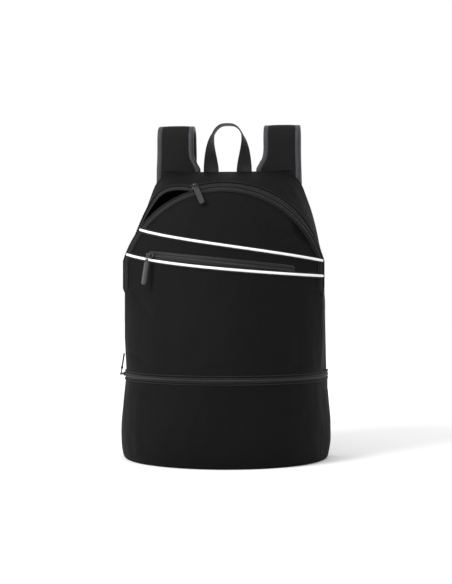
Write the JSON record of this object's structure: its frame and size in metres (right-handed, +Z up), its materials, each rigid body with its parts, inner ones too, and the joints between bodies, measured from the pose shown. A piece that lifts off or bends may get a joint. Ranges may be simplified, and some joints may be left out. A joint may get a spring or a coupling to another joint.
{
  "type": "backpack",
  "caption": "Soft black racket backpack with an arched main zip, slanted front zip pocket with white piping, zipped shoe compartment, carry handle and padded shoulder straps.",
  "frame": {"origin": "on the floor under the middle of the round base's plan circle, on the base's underside", "axes": "+Z up, front of the bag faces -Y, +X to the right seen from the front"},
  "size_m": [0.3339, 0.2612, 0.53],
  "materials": {
    "body_fabric": "matte black woven polyester",
    "lining": "smooth dark grey lining",
    "back_mesh": "black air mesh over foam",
    "base_board": "dark grey stiffener sheet",
    "webbing": "black ribbed webbing",
    "binding": "black binding tape with a soft sheen",
    "piping": "white covered cord",
    "zip_tape": "black zip tape",
    "zip_coil": "black nylon coil",
    "slider_metal": "black painted metal",
    "pull_tab": "black moulded pull",
    "buckle": "black moulded plastic"
  },
  "bodies": {
    "bag": {"back_panel": "body_fabric", "back_pad_left": "back_mesh", "back_pad_right": "back_mesh", "lumbar_pad": "back_mesh", "base_panel": "body_fabric", "base_board": "base_board", "shoe_wall": "body_fabric", "compartment_floor": "lining", "side_gusset": "body_fabric", "front_lower_panel": "body_fabric", "pocket_lining": "lining", "main_zip_gusset_tape": "zip_tape", "main_zip_gusset_coil": "zip_coil", "shoe_zip_lower_tape": "zip_tape", "shoe_zip_upper_tape": "zip_tape", "shoe_zip_coil": "zip_coil", "handle_bartacks": "webbing", "strap_base_left": "body_fabric", "strap_base_right": "body_fabric", "webbing_anchor_left": "body_fabric", "webbing_anchor_right": "body_fabric", "lower_webbing_left": "webbing", "lower_webbing_right": "webbing"},
    "flap": {"flap_pocket_lining": "lining", "flap_upper_panel": "body_fabric", "flap_band": "body_fabric", "flap_pocket_front": "body_fabric", "piping_upper": "piping", "piping_lower": "piping", "main_zip_flap_tape": "zip_tape", "main_zip_flap_coil": "zip_coil", "pocket_zip_tapes": "zip_tape", "pocket_zip_coil": "zip_coil"},
    "main_slider": {"main_slider": "slider_metal"},
    "main_pull": {"main_pull_link": "slider_metal", "main_pull_tab": "pull_tab"},
    "pocket_slider": {"pocket_slider": "slider_metal"},
    "pocket_pull": {"pocket_pull_link": "slider_metal", "pocket_pull_tab": "pull_tab"},
    "shoe_slider": {"shoe_slider": "slider_metal"},
    "shoe_pull": {"shoe_pull_link": "slider_metal", "shoe_pull_tab": "pull_tab"},
    "handle": {"top_handle": "webbing"},
    "strap_left": {"strap_left": "body_fabric", "strap_binding_left": "binding", "lock_loop_left": "webbing", "ladder_lock_left": "buckle"},
    "strap_right": {"strap_right": "body_fabric", "strap_binding_right": "binding", "lock_loop_right": "webbing", "ladder_lock_right": "buckle"}
  },
  "joints": [
    {"name": "flap_open", "type": "hinge", "parent": "bag", "child": "flap", "pos_m": [0, -0.13551, 0.25], "axis": [1, 0, 0], "range_deg": [0, 65]},
    {"name": "main_slider_travel", "type": "hinge", "parent": "bag", "child": "main_slider", "pos_m": [0, -0.048, 0.2595], "axis": [0, 1, 0], "range_deg": [-50, 82]},
    {"name": "main_pull_swing", "type": "hinge", "parent": "main_slider", "child": "main_pull", "pos_m": [-0.04439, -0.048, 0.42516], "axis": [-0.9659, 0, -0.2588], "range_deg": [0, 150]},
    {"name": "pocket_slider_travel", "type": "hinge", "parent": "flap", "child": "pocket_slider", "pos_m": [0.005, 0.08116, 0.302], "axis": [0.1044, 0, 0.9945], "range_deg": [0, 65]},
    {"name": "pocket_pull_swing", "type": "hinge", "parent": "pocket_slider", "child": "pocket_pull", "pos_m": [-0.10919, -0.09599, 0.31618], "axis": [-0.8341, 0.5446, 0.0876], "range_deg": [0, 120]},
    {"name": "shoe_slider_travel", "type": "hinge", "parent": "bag", "child": "shoe_slider", "pos_m": [0, 0, 0.1295], "axis": [0, 0, 1], "range_deg": [0, 176]},
    {"name": "shoe_pull_swing", "type": "hinge", "parent": "shoe_slider", "child": "shoe_pull", "pos_m": [-0.1669, -0.00583, 0.1295], "axis": [0.0349, -0.9994, 0], "range_deg": [0, 170]},
    {"name": "handle_fold", "type": "hinge", "parent": "bag", "child": "handle", "pos_m": [0, 0.0285, 0.4528], "axis": [1, 0, 0], "range_deg": [-35, 70], "stiffness_Nm_per_rad": 0.08},
    {"name": "strap_left_swing", "type": "hinge", "parent": "bag", "child": "strap_left", "pos_m": [0, 0.0397, 0.452], "axis": [1, 0, 0], "range_deg": [0, 12], "stiffness_Nm_per_rad": 0.4},
    {"name": "strap_right_swing", "type": "hinge", "parent": "bag", "child": "strap_right", "pos_m": [0, 0.0397, 0.452], "axis": [1, 0, 0], "range_deg": [0, 12], "stiffness_Nm_per_rad": 0.4}
  ]
}
